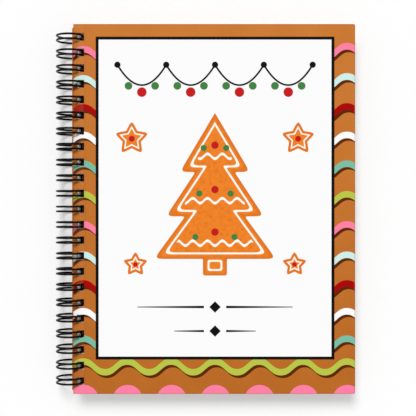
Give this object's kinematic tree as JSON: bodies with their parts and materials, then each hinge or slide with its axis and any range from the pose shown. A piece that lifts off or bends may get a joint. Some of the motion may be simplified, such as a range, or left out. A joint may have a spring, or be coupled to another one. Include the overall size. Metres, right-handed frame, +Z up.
{
  "type": "gift card holder",
  "caption": "Wire-bound gift card book with printed covers, punched pages that carry card pockets, and a double-loop wire spine on which the covers and pages turn.",
  "frame": {"origin": "bottom centre of the closed book's box, on the surface it lies on", "axes": "+X from the spine to the fore edge, +Y to the cover's top edge, +Z up out of the front cover"},
  "size_m": [0.1626, 0.2, 0.0158],
  "materials": {
    "wire": "glossy black coating on steel wire",
    "cover_card": "satin printed card",
    "page_paper": "uncoated heavy paper",
    "pocket_paper": "uncoated card"
  },
  "bodies": {
    "wire_binding": {"wire_binding": "wire"},
    "back_cover": {"back_cover": "cover_card"},
    "front_cover": {"front_cover": "cover_card"},
    "leaf_1": {"leaf_1_page": "page_paper", "leaf_1_upper_pocket": "pocket_paper", "leaf_1_lower_pocket": "pocket_paper"},
    "leaf_2": {"leaf_2_page": "page_paper", "leaf_2_upper_pocket": "pocket_paper", "leaf_2_lower_pocket": "pocket_paper"},
    "leaf_3": {"leaf_3_page": "page_paper", "leaf_3_upper_pocket": "pocket_paper", "leaf_3_lower_pocket": "pocket_paper"},
    "leaf_4": {"leaf_4_page": "page_paper", "leaf_4_upper_pocket": "pocket_paper", "leaf_4_lower_pocket": "pocket_paper"},
    "leaf_5": {"leaf_5_page": "page_paper", "leaf_5_upper_pocket": "pocket_paper", "leaf_5_lower_pocket": "pocket_paper"}
  },
  "joints": [
    {"name": "back_cover_turn", "type": "hinge", "parent": "wire_binding", "child": "back_cover", "pos_m": [-0.0734, 0, 0.00786], "axis": [0, -1, 0], "range_deg": [-180, 0]},
    {"name": "leaf_5_turn", "type": "hinge", "parent": "wire_binding", "child": "leaf_5", "pos_m": [-0.0734, 0, 0.00786], "axis": [0, -1, 0], "range_deg": [0, 180]},
    {"name": "leaf_4_turn", "type": "hinge", "parent": "leaf_5", "child": "leaf_4", "pos_m": [-0.0734, 0, 0.00786], "axis": [0, -1, 0], "range_deg": [0, 180]},
    {"name": "leaf_3_turn", "type": "hinge", "parent": "leaf_4", "child": "leaf_3", "pos_m": [-0.0734, 0, 0.00786], "axis": [0, -1, 0], "range_deg": [0, 180]},
    {"name": "leaf_2_turn", "type": "hinge", "parent": "leaf_3", "child": "leaf_2", "pos_m": [-0.0734, 0, 0.00786], "axis": [0, -1, 0], "range_deg": [0, 180]},
    {"name": "leaf_1_turn", "type": "hinge", "parent": "leaf_2", "child": "leaf_1", "pos_m": [-0.0734, 0, 0.00786], "axis": [0, -1, 0], "range_deg": [0, 180]},
    {"name": "front_cover_turn", "type": "hinge", "parent": "leaf_1", "child": "front_cover", "pos_m": [-0.0734, 0, 0.00786], "axis": [0, -1, 0], "range_deg": [0, 180]}
  ]
}
